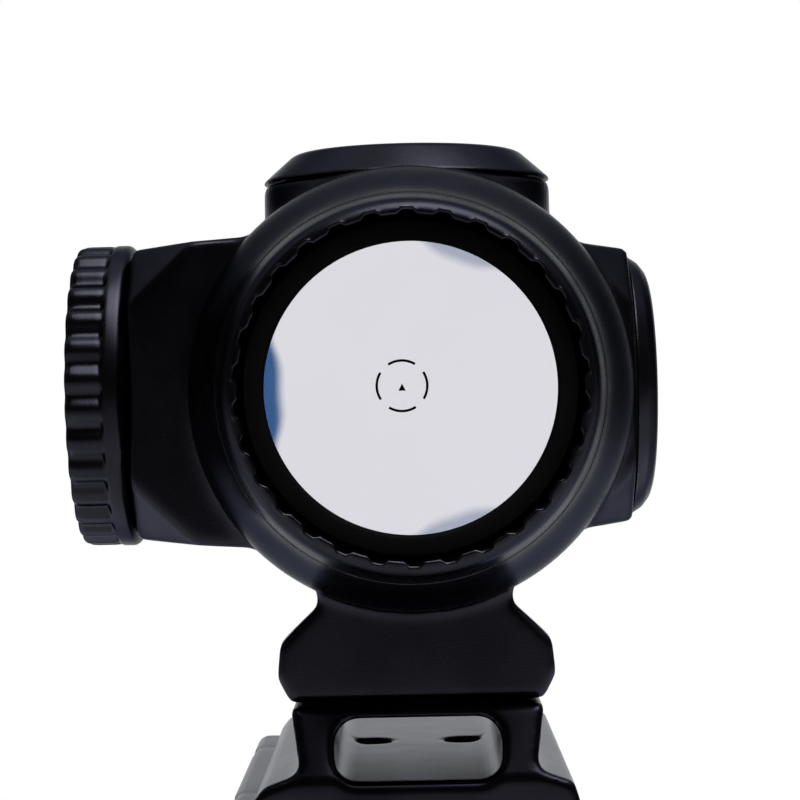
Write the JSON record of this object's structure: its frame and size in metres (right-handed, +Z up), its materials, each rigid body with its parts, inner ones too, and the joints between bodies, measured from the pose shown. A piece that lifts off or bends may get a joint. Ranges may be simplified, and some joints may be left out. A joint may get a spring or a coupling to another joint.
{
  "type": "red dot finder",
  "caption": "Compact tube sight with an etched reticle, screwed caps, a ribbed brightness knob and a riser that clamps on a rail.",
  "frame": {"origin": "the middle of the clamp's seat on the rail, under the turrets", "axes": "+Y along the optical axis towards the objective, +Z up, the brightness knob on the -X side"},
  "size_m": [0.0557, 0.066, 0.0697],
  "materials": {
    "black_anodised": "satin anodised, blue-black",
    "inner_black": "matte black anodised",
    "seal_rubber": "matte",
    "black_steel": "black oxide",
    "bright_steel": "satin",
    "brass": "turned",
    "circuit_board": "solder mask",
    "lamp": "clear coloured resin",
    "coated_glass": "coated, polished"
  },
  "bodies": {
    "housing": {"main_housing": "black_anodised", "eyepiece_bell": "black_anodised", "key_screw": "black_steel", "eyepiece_seal": "seal_rubber", "gimbal_pin_left": "black_steel", "gimbal_pin_right": "black_steel", "return_spring": "bright_steel", "led_lead": "seal_rubber", "objective_bezel": "black_anodised", "objective_lens": "coated_glass", "objective_retainer": "inner_black", "objective_seal": "seal_rubber", "elevation_click_ball": "bright_steel", "windage_click_ball": "bright_steel", "knob_snap_ring": "bright_steel", "detent_ball": "bright_steel", "detent_spring": "bright_steel", "battery": "bright_steel", "battery_spring": "bright_steel", "switch_board": "circuit_board", "riser_mount": "black_anodised", "foot_screw_left": "black_steel", "foot_screw_right": "black_steel", "foot_dowel_left": "black_steel", "foot_dowel_right": "black_steel"},
    "focus_ring": {"focus_ring": "black_anodised"},
    "eyepiece_cell": {"eyepiece_cell": "inner_black", "eyepiece_lens": "coated_glass", "eyepiece_retainer": "inner_black"},
    "elevation_cap": {"elevation_cap": "black_anodised", "elevation_seal": "seal_rubber"},
    "elevation_dial": {"elevation_dial": "brass"},
    "elevation_plunger": {"elevation_plunger": "brass"},
    "gimbal_ring": {"gimbal_ring": "inner_black", "tube_pin_top": "black_steel", "tube_pin_bottom": "black_steel"},
    "inner_tube": {"inner_tube": "inner_black", "reticle_plate": "coated_glass", "reticle_retainer": "inner_black", "led": "lamp", "led_board": "circuit_board"},
    "windage_cap": {"windage_cap": "black_anodised", "windage_seal": "seal_rubber"},
    "windage_dial": {"windage_dial": "brass"},
    "windage_plunger": {"windage_plunger": "brass"},
    "brightness_knob": {"brightness_knob": "black_anodised", "selector_magnet": "bright_steel"},
    "battery_cap": {"battery_cap": "black_anodised", "battery_cap_seal": "seal_rubber"},
    "clamp_jaw": {"clamp_jaw": "black_anodised"},
    "clamp_bolt_rear": {"clamp_bolt_rear": "black_steel"},
    "clamp_bolt_front": {"clamp_bolt_front": "black_steel"}
  },
  "joints": [
    {"name": "focus_ring_turn", "type": "hinge", "parent": "housing", "child": "focus_ring", "pos_m": [0, -0.03, 0.04], "axis": [0, 1, 0], "range_deg": [-150, 150]},
    {"name": "eyepiece_cell_slide", "type": "slide", "parent": "housing", "child": "eyepiece_cell", "axis": [0, 1, 0], "range_m": [-0.00056, 0.00056]},
    {"name": "elevation_cap_removal", "type": "slide", "parent": "housing", "child": "elevation_cap", "axis": [0, 0, 1], "range_m": [0, 0.025]},
    {"name": "elevation_dial_turn", "type": "hinge", "parent": "housing", "child": "elevation_dial", "pos_m": [0, 0, 0.0605], "axis": [0, 0, 1], "range_deg": [-361, 361]},
    {"name": "elevation_plunger_travel", "type": "slide", "parent": "housing", "child": "elevation_plunger", "axis": [0, 0, 1], "range_m": [-0.00025, 0.00025]},
    {"name": "gimbal_pitch", "type": "hinge", "parent": "housing", "child": "gimbal_ring", "pos_m": [0, -0.012, 0.04], "axis": [1, 0, 0], "range_deg": [-1.25, 1.25]},
    {"name": "windage_cap_removal", "type": "slide", "parent": "housing", "child": "windage_cap", "axis": [1, 0, 0], "range_m": [0, 0.025]},
    {"name": "windage_dial_turn", "type": "hinge", "parent": "housing", "child": "windage_dial", "pos_m": [0.0205, 0, 0.04], "axis": [1, 0, 0], "range_deg": [-361, 361]},
    {"name": "windage_plunger_travel", "type": "slide", "parent": "housing", "child": "windage_plunger", "axis": [1, 0, 0], "range_m": [-0.00025, 0.00025]},
    {"name": "tube_yaw", "type": "hinge", "parent": "gimbal_ring", "child": "inner_tube", "pos_m": [0, -0.012, 0.04], "axis": [0, 0, 1], "range_deg": [-1.25, 1.25]},
    {"name": "brightness_knob_turn", "type": "hinge", "parent": "housing", "child": "brightness_knob", "pos_m": [-0.03, 0, 0.04], "axis": [-1, 0, 0], "range_deg": [0, 300]},
    {"name": "battery_cap_removal", "type": "slide", "parent": "housing", "child": "battery_cap", "axis": [-1, 0, 0], "range_m": [0, 0.025]},
    {"name": "clamp_jaw_slide", "type": "slide", "parent": "housing", "child": "clamp_jaw", "axis": [-1, 0, 0], "range_m": [0, 0.003]},
    {"name": "clamp_bolt_rear_turn", "type": "hinge", "parent": "clamp_jaw", "child": "clamp_bolt_rear", "pos_m": [-0.01, -0.008, -0.00165], "axis": [-1, 0, 0], "range_deg": [0, 2161]},
    {"name": "clamp_bolt_front_turn", "type": "hinge", "parent": "clamp_jaw", "child": "clamp_bolt_front", "pos_m": [-0.01, 0.022, -0.00165], "axis": [-1, 0, 0], "range_deg": [0, 2161]}
  ],
  "couplings": [
    {"joint": "eyepiece_cell_slide", "follows": "focus_ring_turn", "m_per_rad": 0.00021008},
    {"joint": "elevation_dial_turn", "follows": "elevation_plunger_travel", "rad_per_m": 25133},
    {"joint": "gimbal_pitch", "follows": "elevation_plunger_travel", "rad_per_m": 83.333},
    {"joint": "windage_dial_turn", "follows": "windage_plunger_travel", "rad_per_m": 25133},
    {"joint": "tube_yaw", "follows": "windage_plunger_travel", "rad_per_m": -83.333},
    {"joint": "clamp_bolt_rear_turn", "follows": "clamp_jaw_slide", "rad_per_m": 12566},
    {"joint": "clamp_bolt_front_turn", "follows": "clamp_jaw_slide", "rad_per_m": 12566}
  ]
}
